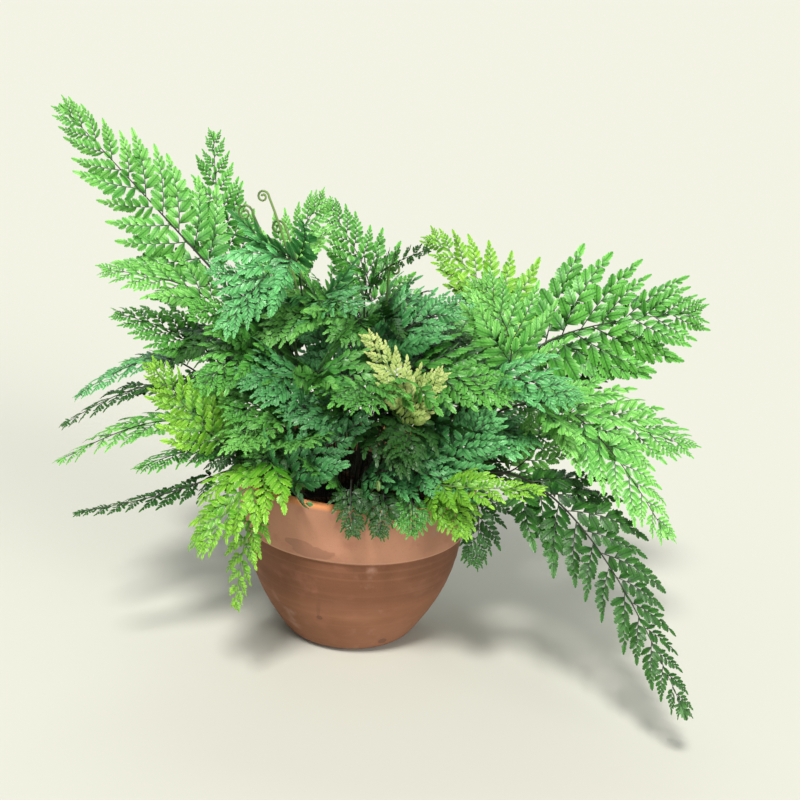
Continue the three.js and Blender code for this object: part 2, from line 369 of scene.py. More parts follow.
def make_leaf_tissue():
    """Masks for midrib, side veins, foot, a painted rim highlight and painted clump shade,
    laid one after another over the green.
    A side vein is where the fraction of (veins x along - slant x across) is near a half."""
    tree, group_in, group_out = new_group("leaf_tissue", LEAF_INPUTS, LEAF_OUTPUTS)
    leaf = group_in.outputs
    along, across, place = leaf["Along"], leaf["Across"], leaf["Place"]
    rib = minus(tree, 1.0, ramp(tree, across, 0.03, 0.17))
    slanted = minus(tree, times(tree, along, SIDE_VEINS), times(tree, across, VEIN_SLANT))
    saw = math_node(tree, "ABSOLUTE", minus(tree, math_node(tree, "FRACT", slanted), 0.5))
    vein = minus(tree, 1.0, ramp(tree, saw, 0.03, 0.16))
    vein = times(tree, vein, ramp(tree, across, 0.85, 0.5))
    foot = ramp(tree, along, 0.50, 0.0)
    core = wire(tree, "ShaderNodeVectorMath", {"operation": "DISTANCE"}, Vector=place)
    core.inputs[1].default_value = CLUMP_CORE
    # Painted shade: 1 near the middle of the clump, 0 from 155 mm out; it turns leaves to the midrib colour.
    painted_clump_shade = ramp(tree, core.outputs["Value"], CORE_DARK_TO, CORE_DARK_FROM)

    cloud = minus(tree, noise(tree, place, 28.0), 0.5)
    fresh = plus(tree, times(tree, leaf["Tint"], 0.55), times(tree, leaf["Age"], 0.45))
    fresh = math_node(tree, "ADD", fresh, times(tree, cloud, 1.1), clamp=True)
    colour = blend(tree, fresh, leaf["Deep"], leaf["Fresh"])
    # Painted highlight: the leaflet's margins are turned towards the pale rim colour.
    colour = tinted(tree, colour, ramp(tree, across, 0.45, 1.0), 0.6, leaf["Rim highlight"])
    for mask, strength in ((vein, 0.36), (foot, 0.72), (rib, 0.6), (painted_clump_shade, 0.62)):
        colour = tinted(tree, colour, mask, strength, leaf["Midrib"])

    speckle = noise(tree, place, 900.0)
    roughness = plus(tree, 0.26, times(tree, speckle, 0.22))
    height = minus(tree, times(tree, speckle, 0.15), plus(tree, rib, times(tree, vein, 0.6)))
    for label, value in (("Colour", colour), ("Roughness", roughness), ("Height", height)):
        tree.links.new(value, group_out.inputs[label])
    return tree


LEAF_TISSUE = make_leaf_tissue()
print("nodes in the leaf tissue group:", len(LEAF_TISSUE.nodes))

# %% [markdown]
# The plant carries leaves of several ages: yellow-green young ones, full green ones, some painted
# blue-green as a painted sheen of reflected sky, dark old ones low down, and one pale frond that has
# lost its green. Each tone is the same material with four colours of its own.

# %% Leaf tones
TONES = {
    # name: (deep, fresh, rim with its painted highlight, midrib)
    "young_frond": ((0.040, 0.26, 0.006), (0.340, 0.68, 0.05), (0.58, 0.86, 0.20), (0.03, 0.15, 0.01)),
    "light_frond": ((0.055, 0.30, 0.030), (0.265, 0.68, 0.13), (0.52, 0.90, 0.34), (0.02, 0.11, 0.02)),
    "mid_frond": ((0.020, 0.18, 0.012), (0.165, 0.56, 0.075), (0.42, 0.84, 0.26), (0.006, 0.04, 0.006)),
    # Painted sheen: a bluish green stands in for the sky's reflection on glossy leaves.
    "blue_green_frond": ((0.022, 0.20, 0.034), (0.18, 0.62, 0.19), (0.48, 0.92, 0.48), (0.006, 0.05, 0.012)),
    "dark_frond": ((0.008, 0.06, 0.006), (0.048, 0.18, 0.024), (0.10, 0.30, 0.06), (0.004, 0.02, 0.004)),
    "pale_frond": ((0.260, 0.44, 0.07), (0.760, 0.76, 0.30), (0.88, 0.88, 0.50), (0.14, 0.26, 0.04)),
}
LEAF_GLOSS = 0.36


def leaf_material(name, deep, fresh, rim, midrib):
    """Leaf tissue of one tone. Across is twice the distance from the middle of the leaf's width."""
    material, tree, shader, place = new_material(name)
    on_leaf = wire(tree, "ShaderNodeUVMap", {"uv_map": "leaf"}).outputs["UV"]
    split = wire(tree, "ShaderNodeSeparateXYZ", None, Vector=on_leaf)
    off_middle = math_node(tree, "ABSOLUTE", minus(tree, split.outputs["Y"], 0.5))
    tissue = tree.nodes.new("ShaderNodeGroup")
    tissue.node_tree = LEAF_TISSUE
    values = {
        "Along": split.outputs["X"],
        "Across": times(tree, off_middle, 2.0),
        "Tint": wire(tree, "ShaderNodeAttribute", {"attribute_name": "tint"}).outputs["Fac"],
        "Age": wire(tree, "ShaderNodeAttribute", {"attribute_name": "age"}).outputs["Fac"],
        "Place": place,
        "Deep": (*deep, 1),
        "Fresh": (*fresh, 1),
        "Rim highlight": (*rim, 1),
        "Midrib": (*midrib, 1),
    }
    for label, value in values.items():
        feed(tree, tissue.inputs[label], value)
    tree.links.new(tissue.outputs["Colour"], shader.inputs["Base Color"])
    tree.links.new(tissue.outputs["Roughness"], shader.inputs["Roughness"])
    add_bump(tree, shader, tissue.outputs["Height"], 0.5, 0.0003)
    shader.inputs["Specular IOR Level"].default_value = LEAF_GLOSS
    return material


LEAVES = {}
for tone, colours in TONES.items():
    LEAVES[tone] = leaf_material(tone.replace("frond", "leaf"), *colours)
print("leaf materials:", ", ".join(LEAVES))

# %% [markdown]
# The stalks of grown fronds are dark brown to black and those of young ones are green. Both are
# smooth with darker patches and very fine scales.

# %% Stems


def stem_material(name, colour, darker):
    """Cloudy patches of the darker colour, which are also a little rougher."""
    material, tree, shader, place = new_material(name)
    patches = noise(tree, place, 60.0, 3.0)
    base = blend(tree, ramp(tree, patches, 0.35, 0.7), (*colour, 1), (*darker, 1))
    tree.links.new(base, shader.inputs["Base Color"])
    tree.links.new(plus(tree, 0.38, times(tree, patches, 0.25)), shader.inputs["Roughness"])
    add_bump(tree, shader, noise(tree, place, 1500.0), 0.35, 0.0002)
    return material


DARK_STEM = stem_material("dark_stem", (0.030, 0.034, 0.018), (0.008, 0.010, 0.006))
GREEN_STEM = stem_material("green_stem", (0.16, 0.26, 0.07), (0.06, 0.12, 0.03))
print("stem materials:", DARK_STEM.name, GREEN_STEM.name)

# %% [markdown]
# One leaflet is a thin lens: a narrow wedge at its foot, broad and toothed at its end, with a
# midrib raised over it and a flat underside. A leaf cut from a flat sheet would have no thickness
# and no underside. Thousands are needed, so each has few faces, and the smallest ones, at the ends
# of the branches, have only two teeth. The outline is a short list of stations.

# %% The leaflet's pattern
TOOTHED = [
    # (place on the midrib, place of the margin along the leaf, half width there)
    (0.00, 0.00, 0.08),
    (0.20, 0.20, 0.55),
    (0.34, 0.40, 0.92),
    (0.42, 0.42, 0.72),
    (0.52, 0.62, 1.00),
    (0.60, 0.61, 0.66),
    (0.70, 0.80, 0.80),
    (0.78, 0.77, 0.44),
    (0.86, 0.93, 0.42),
    (1.00, 1.00, 0.00),
]
SMALL = [
    (0.00, 0.00, 0.15),
    (0.26, 0.36, 0.95),
    (0.46, 0.46, 0.66),
    (0.60, 0.74, 0.80),
    (1.00, 1.00, 0.00),
]
TOP_IN_CELL = np.array([(0.54, 0.92), (0.03, 0.04)])
UNDERSIDE_IN_CELL = np.array([(0.30, 0.92), (0.65, 0.04)])
MIDRIB_FALL = 0.4


def leaflet_template(stations):
    """Points as (along, across, height), the midrib first and then each margin; the faces; and for
    every face corner its place on the leaf and in the leaflet's own square. The midrib's height
    falls evenly from 1 at the foot, and the margins are at height 0."""
    mid_along, edge_along, half_width = np.array(stations).T
    n = len(mid_along)
    flat = np.zeros(n)
    mid = np.stack([mid_along, flat, 1 - MIDRIB_FALL * mid_along], 1)
    left = np.stack([edge_along, half_width, flat], 1)[:-1]
    points = np.concatenate([mid, left, left * (1, -1, 1)])
    m, a = np.arange(n), n + np.arange(n - 1)
    b = a + n - 1
    top, under = [], []
    for k in range(n - 2):
        top += [(m[k], m[k + 1], a[k + 1], a[k]), (m[k], b[k], b[k + 1], m[k + 1])]
        under += [(a[k], a[k + 1], b[k + 1], b[k])]
    top += [(m[-2], m[-1], a[-1]), (m[-2], b[-1], m[-1])]
    under += [(a[-1], m[-1], b[-1]), (a[0], b[0], m[0])]
    order = np.concatenate([np.array(face) for face in top + under])
    leaf = np.stack([points[order, 0], 0.5 + 0.5 * points[order, 1]], 1)
    n_top = sum(len(face) for face in top)
    cell = leaf * TOP_IN_CELL[0] + TOP_IN_CELL[1]
    cell[n_top:] = leaf[n_top:] * UNDERSIDE_IN_CELL[0] + UNDERSIDE_IN_CELL[1]
    return points, top + under, leaf, cell


LEAFLETS = {"toothed": leaflet_template(TOOTHED), "small": leaflet_template(SMALL)}
print("leaflet faces:", {kind: len(made[1]) for kind, made in LEAFLETS.items()})

# %% [markdown]
# A leaflet is placed by three directions: ahead along it, sideways across it, and the normal out of
# its face. All leaflets of a branch are placed in one step. A stalk is a round rod along a path; it
# could be a curve with a bevel, but as an array it goes into the same mesh as its leaflets.

# %% Leaflets and rods in place
LEAF_SLOT, STEM_SLOT = 0, 1
MIDRIB_RISE = 0.10
LEAFLET_DROOP = 0.12
MIDDLING = (0.5, 0.5)


def add_leaflets(parts, base, ahead, normal, length, breadth, values):
    """Leaflets at base points: along x length forward, across x half the breadth sideways, height
    up the normal, and a droop that grows with the square of the distance along."""
    sideways = np.cross(normal, ahead)
    small = length < parts.plain_below
    for kind, chosen in (("toothed", ~small), ("small", small)):
        if not chosen.any():
            continue
        points, faces, leaf, cell = LEAFLETS[kind]
        size, broad = length[chosen, None, None], breadth[chosen, None, None]
        x, y, z = (points[None, :, k, None] for k in range(3))
        lift = MIDRIB_RISE * z * broad - LEAFLET_DROOP * x**2 * size
        placed = base[chosen, None] + x * size * ahead[chosen, None]
        placed = placed + y * broad / 2 * sideways[chosen, None] + lift * normal[chosen, None]
        parts.add(placed, faces, leaf, cell, LEAF_SLOT, values[chosen])


def add_rods(parts, paths, radii, across, sides, slot=0):
    """Round rods along paths (copies, k, 3): at each point a ring of the given radius, spanned by
    the across direction and the one at right angles to it and to the path, with both ends closed."""
    copies, k = paths.shape[:2]
    along = unit(np.gradient(paths, axis=1))
    u = unit(across - (across * along).sum(-1, keepdims=True) * along)
    v = np.cross(along, u)
    a = np.linspace(0, 2 * np.pi, sides, endpoint=False)
    ring = np.cos(a)[:, None] * u[:, :, None] + np.sin(a)[:, None] * v[:, :, None]
    points = (paths[:, :, None] + radii[:, :, None, None] * ring).reshape(copies, -1, 3)
    faces, uv = [], []
    for i in range(k - 1):
        for j in range(sides):
            j2 = (j + 1) % sides
            faces.append((i * sides + j, i * sides + j2, (i + 1) * sides + j2, (i + 1) * sides + j))
            uv += [(i, j), (i, j + 1), (i + 1, j + 1), (i + 1, j)]
    uv = np.array(uv) * (0.8 / (k - 1), 0.94 / sides) + (0.03, 0.03)
    last = (k - 1) * sides
    faces += [tuple(range(sides))[::-1], tuple(range(last, last + sides))]
    cap = 0.05 * np.stack([np.cos(a), np.sin(a)], 1)
    uv = np.concatenate([uv, cap[::-1] + (0.90, 0.2), cap + (0.90, 0.6)])
    parts.add(points, faces, uv, uv, slot, np.broadcast_to(MIDDLING, (copies, 2)))


trial = Parts()
trial_path = np.array([[(0.0, 0.0, 0.0), (0.0, 0.0, 10.0), (0.0, 0.0, 20.0)]])
add_rods(trial, trial_path, np.ones((1, 3)), np.array([1.0, 0.0, 0.0]), 6)
print("faces of a rod with 6 sides and 3 rings:", len(trial.starts[0]))

# %% [markdown]
# The table says where each frond stands, in the same numbers as its solid: foot on the soil, height
# of the knee where the stem bends outward, shoulder where the blade starts, tip, breadth, the way
# its upper face looks, and its tone. The places are chosen as a gardener would bend real fronds
# into view, so they stay a table.

# %% The fronds of the plant, in millimetres
UP, FRONT, FRONT_UP = (0, 0, 1), (0, -1, 0.6), (0, -1, 1.6)
YOUNG, LIGHT, MID = "young_frond", "light_frond", "mid_frond"
PAINTED_SHEEN, DARK, CREAM = "blue_green_frond", "dark_frond", "pale_frond"
FRONDS = [
    ("crown_1", (-18, 34), 220, (-108, 72, 285), (-130, 95, 385), 74, FRONT, MID),
    ("crown_2", (-9, 25), 200, (-66, 60, 266), (-38, 75, 342), 84, FRONT, LIGHT),
    ("crown_3", (4, 36), 200, (4, 98, 252), (-38, 120, 328), 84, FRONT, MID),
    ("crown_4", (3, 10), 215, (-2, 20, 272), (45, -20, 324), 40, (1, 0.2, 0), DARK),
    ("crown_5", (30, 20), 165, (104, 30, 250), (44, 60, 320), 96, FRONT, YOUNG),
    ("crown_6", (-14, 4), 205, (-42, 12, 260), (-4, -52, 284), 94, FRONT_UP, PAINTED_SHEEN),
    ("crown_7", (-26, -4), 225, (-54, 6, 298), (-105, -60, 262), 108, FRONT_UP, PAINTED_SHEEN),
    ("crown_8", (-4, -12), 175, (-12, -22, 214), (-45, -30, 268), 68, FRONT, PAINTED_SHEEN),
    ("crown_9", (22, 4), 160, (108, -35, 242), (82, -30, 306), 100, FRONT, LIGHT),
    ("crown_10", (12, -4), 185, (12, -24, 236), (80, -32, 292), 94, FRONT_UP, PAINTED_SHEEN),
    ("crown_11", (10, -18), 165, (32, -74, 216), (0, -74, 272), 46, FRONT, CREAM),
    ("crown_12", (18, -26), 160, (30, -76, 206), (58, -78, 248), 42, FRONT, CREAM),
    ("left_1", (-24, 12), 235, (-126, 40, 288), (-235, 10, 410), 116, FRONT, LIGHT),
    ("left_2", (-34, 4), 220, (-120, 12, 266), (-202, -10, 292), 74, FRONT_UP, LIGHT),
    ("left_3", (-40, 16), 190, (-126, 14, 228), (-196, 10, 254), 66, FRONT_UP, MID),
    ("left_4", (-56, 18), 190, (-146, 20, 214), (-224, -20, 192), 56, UP, PAINTED_SHEEN),
    ("left_5", (-60, 4), 180, (-150, 0, 198), (-230, -40, 175), 48, UP, DARK),
    ("left_6", (-62, -8), 170, (-138, -20, 178), (-225, -80, 161), 66, UP, LIGHT),
    ("left_7", (-56, -30), 162, (-108, -60, 150), (-207, -110, 134), 44, UP, DARK),
    ("left_8", (-50, -18), 165, (-104, -40, 168), (-165, -80, 160), 60, UP, MID),
    ("left_9", (-48, -36), 150, (-102, -62, 178), (-152, -90, 246), 68, FRONT, YOUNG),
    ("left_10", (-30, -8), 200, (-74, -12, 240), (-130, -42, 276), 80, FRONT_UP, MID),
    ("left_11", (-32, -20), 195, (-68, -20, 234), (-120, -76, 222), 90, FRONT_UP, MID),
    ("left_12", (-20, 22), 210, (-72, 10, 258), (-118, -16, 300), 76, FRONT_UP, PAINTED_SHEEN),
    ("right_1", (42, 12), 200, (138, 30, 240), (257, 0, 283), 150, FRONT, MID),
    ("right_2", (48, 0), 175, (142, -14, 196), (248, -60, 195), 116, FRONT_UP, LIGHT),
    ("right_3", (38, -10), 200, (128, -44, 218), (230, -120, 141), 110, FRONT_UP, LIGHT),
    ("right_4", (54, -26), 172, (122, -72, 168), (243, -200, 38), 112, FRONT_UP, DARK),
    ("right_5", (40, 34), 165, (130, 34, 202), (200, 24, 230), 66, FRONT, DARK),
    ("right_6", (54, -12), 145, (112, -46, 160), (151, -62, 226), 78, FRONT, LIGHT),
    ("right_7", (58, 2), 170, (130, -42, 164), (174, -92, 166), 56, UP, DARK),
    ("right_8", (34, -22), 190, (90, -40, 228), (156, -84, 234), 90, FRONT_UP, PAINTED_SHEEN),
    ("front_1", (-45, -46), 180, (-62, -82, 176), (-112, -142, 126), 96, UP, YOUNG),
    ("front_2", (-42, -50), 176, (-72, -104, 146), (-84, -132, 74), 44, UP, YOUNG),
    ("front_3", (-4, -62), 174, (-4, -94, 160), (0, -116, 133), 34, UP, DARK),
    ("front_4", (10, -60), 170, (20, -94, 158), (18, -116, 134), 34, UP, DARK),
    ("front_5", (24, -60), 172, (40, -93, 158), (42, -119, 138), 38, UP, MID),
    ("front_6", (30, -46), 160, (56, -90, 166), (134, -130, 182), 52, FRONT_UP, YOUNG),
    ("front_7", (44, -48), 172, (66, -78, 162), (78, -119, 138), 54, UP, YOUNG),
    ("front_8", (50, -38), 174, (86, -82, 158), (90, -114, 112), 56, UP, DARK),
    ("front_9", (-22, -38), 146, (-28, -66, 160), (-94, -80, 196), 80, FRONT, MID),
    ("front_10", (-26, -54), 142, (-46, -88, 156), (8, -86, 216), 74, FRONT, PAINTED_SHEEN),
    ("front_11", (4, -46), 148, (2, -76, 158), (34, -100, 184), 54, FRONT_UP, PAINTED_SHEEN),
    ("front_12", (-14, -46), 148, (-14, -72, 158), (-38, -104, 182), 52, FRONT_UP, MID),
    ("front_13", (40, -30), 146, (50, -56, 158), (98, -82, 218), 98, FRONT, PAINTED_SHEEN),
    ("front_14", (0, -36), 165, (0, -60, 194), (-60, -78, 214), 72, FRONT_UP, PAINTED_SHEEN),
    ("front_15", (-22, -26), 170, (-44, -46, 196), (-100, -74, 208), 84, FRONT_UP, MID),
    ("front_16", (-18, -32), 180, (-34, -58, 230), (28, -92, 230), 84, FRONT_UP, LIGHT),
    ("back_1", (40, 38), 215, (92, 78, 225), (165, 140, 200), 116, UP, MID),
    ("back_2", (24, 46), 220, (56, 104, 240), (110, 190, 215), 112, UP, LIGHT),
    ("back_3", (8, 52), 210, (10, 108, 222), (20, 205, 170), 112, UP, DARK),
    ("back_4", (-10, 50), 220, (-38, 108, 238), (-75, 195, 215), 112, UP, MID),
    ("back_5", (-34, 42), 212, (-86, 86, 222), (-160, 145, 195), 112, UP, PAINTED_SHEEN),
    ("back_6", (-48, 30), 200, (-118, 58, 212), (-205, 95, 188), 84, UP, MID),
    ("back_7", (56, 20), 190, (122, 56, 196), (205, 100, 166), 90, UP, LIGHT),
    ("back_8", (30, 54), 172, (68, 88, 164), (115, 150, 108), 70, UP, MID),
    ("back_9", (-24, 58), 172, (-54, 96, 164), (-90, 165, 104), 70, UP, DARK),
]
print("fronds in the table:", len(FRONDS))

# %% [markdown]
# A frond is built as it grows. Its stem leaves the soil, leans out over the knee and runs into the
# blade without a kink. Both are quadratic curves, the simplest ones that bend one way.

# %% The line of a frond
SOIL_TOP = 124
KNEE = 0.45
FOLLOW = 0.3
LOOK_ROUND = 0.02


def bend(a, k, b, t):
    """A quadratic curve: it leaves a towards k and reaches b from k."""
    t = np.asarray(t)[..., None]
    return (1 - t) ** 2 * a + 2 * t * (1 - t) * k + t**2 * b


def spine(foot, rise, shoulder, tip):
    """Control points of stem and blade. The blade follows the stem's direction for a share of its
    own length before it turns to its tip."""
    root = np.array([foot[0], foot[1], SOIL_TOP - 1.0])
    shoulder, tip = np.array(shoulder, float), np.array(tip, float)
    knee = root + KNEE * (shoulder - root)
    knee[2] = rise
    middle = shoulder + unit(shoulder - knee) * FOLLOW * np.linalg.norm(tip - shoulder)
    return (root, knee, shoulder), (shoulder, middle, tip)


def blade_across(blade, face):
    """The direction across a blade that looks towards face."""
    return unit(np.cross(blade[2] - blade[0], np.array(face, float)))


def blade_frame(blade, face, t):
    """Points of the blade at t with the directions along it, across it and out of its upper face."""
    ahead = bend(*blade, np.minimum(t + LOOK_ROUND, 1)) - bend(*blade, np.maximum(t - LOOK_ROUND, 0))
    ahead = unit(ahead)
    across = blade_across(blade, face)
    side = unit(across - (ahead @ across)[:, None] * ahead)
    return bend(*blade, t), ahead, side, np.cross(side, ahead)


blades = [spine(*row[1:5])[1] for row in FRONDS]
print("longest blade (mm):", round(max(np.linalg.norm(blade[2] - blade[0]) for blade in blades)))

# %% [markdown]
# The blade carries side branches by turns left and right, shorter and closer together towards the
# tip, which gives the frond its triangle. Nature is not exact, so reach, angle, droop and roll are
# each drawn from a narrow range, with a seed that gives the same frond every time.

# %% Side branches
FEWEST_PAIRS, MM_PER_PAIR = 5, 32
LEFT_RIGHT_STEP = 0.45
CLOSING_UP = 1.55
BRANCH_ANGLE, ANGLE_FALL, CURVE_IN = 57, 23, 18
EDGE_SAG = 0.16


def grow_branches(blade, face, breadth, rng):
    """A branch at share t of the blade reaches half the breadth x (1 - t)^0.8 sideways, at an angle
    that falls from 57 to 34 degrees. Its curve turns 18 degrees forward and droops at its end.
    Returns the curves, the ways they face, their lengths, their sides and their t."""
    length = np.linalg.norm(blade[2] - blade[0])
    pairs = int(round(FEWEST_PAIRS + length / MM_PER_PAIR))
    step = (np.arange(pairs)[:, None] + np.array([0.0, LEFT_RIGHT_STEP])).ravel() / pairs
    hand = np.tile([1.0, -1.0], pairs)
    t = 0.015 + 0.95 * (1 - (1 - step) ** CLOSING_UP)
    reach = (breadth / 2 * (1 - t) ** 0.8 + 2.0) * rng.uniform(0.88, 1.06, len(t))
    angle = np.radians(BRANCH_ANGLE - ANGLE_FALL * t + rng.uniform(-5, 5, len(t)))
    size = reach / np.sin(angle)
    point, ahead, side, up = blade_frame(blade, face, t)
    start = np.cos(angle)[:, None] * ahead + (hand * np.sin(angle))[:, None] * side
    closed = angle - np.radians(CURVE_IN)
    end = np.cos(closed)[:, None] * ahead + (hand * np.sin(closed))[:, None] * side
    lift = rng.uniform(-0.18, 0.30, len(t))
    roll = rng.uniform(-0.42, 0.42, len(t))[:, None]
    facing = unit(up + roll * np.cross(up, start))

    def curve(s):
        """Points at share s of every branch: a turn from start to end, and a rise or droop."""
        s = np.asarray(s)[..., None]
        flat = s * start[:, None] + 0.5 * s**2 * (end - start)[:, None]
        droop = (lift[:, None, None] * s * (1 - s) - EDGE_SAG * 0.8 * s**1.6) * up[:, None]
        return point[:, None] + size[:, None, None] * (flat + droop)

    return curve, facing, size, hand, t


trial = grow_branches(blades[0], FRONDS[0][6], FRONDS[0][5], np.random.default_rng(0))
print("branches of the first frond:", len(trial[2]), "longest (mm):", round(trial[2].max()))

# %% [markdown]
# Each branch carries leaflets in the same way as the blade carries branches. They lie over each
# other like roof tiles, so each is turned a little about its own length. Every branch has a tint of
# its own and every leaflet differs a little from it, because one even green would look like plastic.

# %% Leaflets on the branches
MOST_LEAFLETS = 10
FIRST_LEAFLET, SHORTEST_FIRST = 0.22, 2.4
LEAFLET_SPACING, LEAST_SPACING = 0.12, 1.4
GETTING_CLOSER = 1.3
LEAFLET_LEAN, LEAN_FALL = 53, 26


def square_to(normal, ahead):
    """The part of a normal that is at right angles to the direction ahead."""
    return unit(normal - (normal * ahead).sum(-1, keepdims=True) * ahead)


def grow_leaflets(parts, branches, tone_shift, rng):
    """On a branch of length l a leaflet at share s is (0.22 l + 2.4) (1 - s)^0.85 (1 + 0.8 s) long,
    and leaflets stand 0.12 l + 1.4 apart at first. The lowest one on a branch's near side is a
    quarter longer. A last leaflet ends the branch."""
    curve, up, size, hand, t = branches
    first = FIRST_LEAFLET * size + SHORTEST_FIRST
    pace = (LEAFLET_SPACING * size + LEAST_SPACING) / (GETTING_CLOSER * 0.95 * size)
    k = np.arange(MOST_LEAFLETS)
    branch_tint = rng.uniform(-0.16, 0.16, (len(size), 1))
    for way, late in ((1.0, 0.0), (-1.0, 0.5)):
        left = 1 - pace[:, None] * (k + late)
        s = 0.05 + 0.95 * (1 - np.maximum(left, 0) ** GETTING_CLOSER)
        grown = (left > 0) & (s < 0.94)
        s = np.where(grown, s, 0.5)
        here = curve(s)
        ahead = unit(curve(np.minimum(s + 0.03, 1)) - here)
        normal = square_to(np.broadcast_to(up[:, None], ahead.shape), ahead)
        side = np.cross(normal, ahead) * way
        length = first[:, None] * (1 - s) ** 0.85 * (1 + 0.8 * s) * rng.uniform(0.88, 1.08, s.shape)
        near_side = way * hand[:, None] < 0
        length = length * np.where(near_side, 1 + 0.25 * (1 - s) ** 3 * (1 - t[:, None]), 1.0)
        lean = np.radians(LEAFLET_LEAN - LEAN_FALL * s) + rng.uniform(-0.10, 0.10, s.shape)
        out = np.cos(lean)[..., None] * ahead + np.sin(lean)[..., None] * side
        out = unit(out + rng.uniform(-0.32, 0.26, s.shape)[..., None] * normal)
        turn = way * (0.22 + rng.uniform(-0.24, 0.24, s.shape))
        leaf_normal = square_to(unit(normal + turn[..., None] * np.cross(normal, out)), out)
        tint = np.clip(rng.normal(0.42, 0.16, s.shape) + branch_tint + tone_shift, 0, 1)
        age = np.clip(0.15 + 0.6 * s + 0.35 * t[:, None], 0, 1)
        values = np.stack([tint, age], -1)
        breadth = length * (0.54 + 0.22 * s)
        chosen = (here[grown], out[grown], leaf_normal[grown], length[grown], breadth[grown])
        add_leaflets(parts, *chosen, values[grown])
    s = np.full((len(size), 1), 0.84)
    here = curve(s)[:, 0]
    ahead = unit(curve(s + 0.05)[:, 0] - here)
    length = 0.17 * size + 2.2
    values = np.tile([0.55, 0.85], (len(size), 1))
    add_leaflets(parts, here, ahead, square_to(up, ahead), length, 0.42 * length, values)


parts = Parts(plain_below=5.0)
grow_leaflets(parts, trial, 0.0, np.random.default_rng(0))
print("leaflets of the first frond:", sum(len(block) for block in parts.cell_places))

# %% [markdown]
# A whole frond is one piece, as it grew: stem and midrib as one tapering rod, a thin rod for each
# branch, the leaflets, and one leaflet at the very end. Each frond stands for its plain solid and
# takes its place exactly, because both follow the same line.

# %% Grow every frond
BRANCH_POINTS, STEM_POINTS, BLADE_POINTS = 5, 12, 14
BRANCH_SIDES, STEM_SIDES = 4, 6


def grow_frond(name, row, materials, seed, plain_below=5.0):
    """The rod keeps its full radius up the stem and tapers to a fifth along the blade."""
    foot, rise, shoulder, tip, breadth, face = row[1:7]
    rng = np.random.default_rng(seed)
    stem, blade = spine(foot, rise, shoulder, tip)
    blade_length = np.linalg.norm(blade[2] - blade[0])
    parts = Parts(plain_below)
    branches = grow_branches(blade, face, breadth, rng)
    grow_leaflets(parts, branches, rng.uniform(-0.15, 0.15), rng)

    curve, up, size = branches[:3]
    s = np.linspace(0, 0.93, BRANCH_POINTS)
    paths = curve(np.broadcast_to(s, (len(size), BRANCH_POINTS)))
    radii = (0.2 + 0.004 * size)[:, None] * (1 - 0.75 * s)
    add_rods(parts, paths, radii, up[:, None], BRANCH_SIDES, STEM_SLOT)

    stem_part = bend(*stem, np.linspace(0, 1, STEM_POINTS)[:-1])
    path = np.concatenate([stem_part, bend(*blade, np.linspace(0, 0.985, BLADE_POINTS))])
    taper = np.concatenate([np.ones(STEM_POINTS - 1), np.linspace(0.95, 0.2, BLADE_POINTS)])
    radii = (0.55 + 0.0025 * blade_length) * taper
    add_rods(parts, path[None], radii[None], blade_across(blade, face), STEM_SIDES, STEM_SLOT)

    last, ahead, _, normal = blade_frame(blade, face, np.array([0.94]))
    end = np.array([0.06 * blade_length + 2.0])
    add_leaflets(parts, last, ahead, normal, end, 0.55 * end, np.array([[0.6, 1.0]]))
    return parts.build(name, materials, sharp=50)


n_triangles = 0
for seed, row in enumerate(FRONDS):
    node, tone = "frond_" + row[0], row[-1]
    stem_kind = GREEN_STEM if tone in (YOUNG, CREAM) else DARK_STEM
    piece = grow_frond("leafy_" + node, row, [LEAVES[tone], stem_kind], seed)
    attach(piece, "root")
    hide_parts(node)
    n_triangles += triangles(piece)
print("fronds:", len(FRONDS), "triangles:", n_triangles)

# %% [markdown]
# Under the large fronds the clump is full of smaller ones that fill it and hide the stems. They
# stand in five rings: the inner ones are steep, the outer ones lean over the rim. They grow by the
# same function from rows that are worked out, with a little chance in each, instead of a table.

# %% The undergrowth
RINGS = [
    # (how many, foot radius, shoulder radius and height, tip radius and height, breadth)
    (8, 8, 26, 256, 66, 264, 76),
    (11, 14, 60, 238, 112, 238, 88),
    (12, 20, 44, 218, 94, 216, 84),
    (14, 28, 66, 194, 122, 188, 88),
    (14, 40, 76, 168, 116, 162, 68),
]
RING_TURN = 0.7
CLUMP = np.array([-6.0, 8.0])
CLUMP_WIDTH = 1.25
UNDERGROWTH_TONES = [DARK, MID, LIGHT, PAINTED_SHEEN, MID, DARK, MID, LIGHT]
FIRST_SEED = 100


def clump_way(angle):
    """A direction from the middle of the clump, which is wider than it is deep."""
    return np.array([CLUMP_WIDTH * math.cos(angle), math.sin(angle)])


def undergrowth_rows(rng):
    """Rows like those of the table, one for each small frond, evenly round each ring."""
    rows = []
    for ring, (count, foot_r, shoulder_r, shoulder_z, tip_r, tip_z, breadth) in enumerate(RINGS):
        for k in range(count):
            angle = RING_TURN * ring + k * 2 * math.pi / count + rng.uniform(-0.12, 0.12)
            way, tip_way = clump_way(angle), clump_way(angle + rng.uniform(-0.35, 0.35))
            grow = rng.uniform(0.85, 1.15)
            foot = CLUMP + foot_r * way / CLUMP_WIDTH
            shoulder = (*(CLUMP + shoulder_r * way), shoulder_z + rng.uniform(-12, 12))
            tip = (*(CLUMP + tip_r * grow * tip_way), tip_z + rng.uniform(-16, 12))
            face = (0.5 * way[0], 0.5 * way[1] - 0.35, 1)
            tone = UNDERGROWTH_TONES[(3 * k + ring) % len(UNDERGROWTH_TONES)]
            name = f"{ring + 1}_{k + 1}"
            rows.append((name, foot, shoulder_z - 24, shoulder, tip, breadth * grow, face, tone))
    return rows


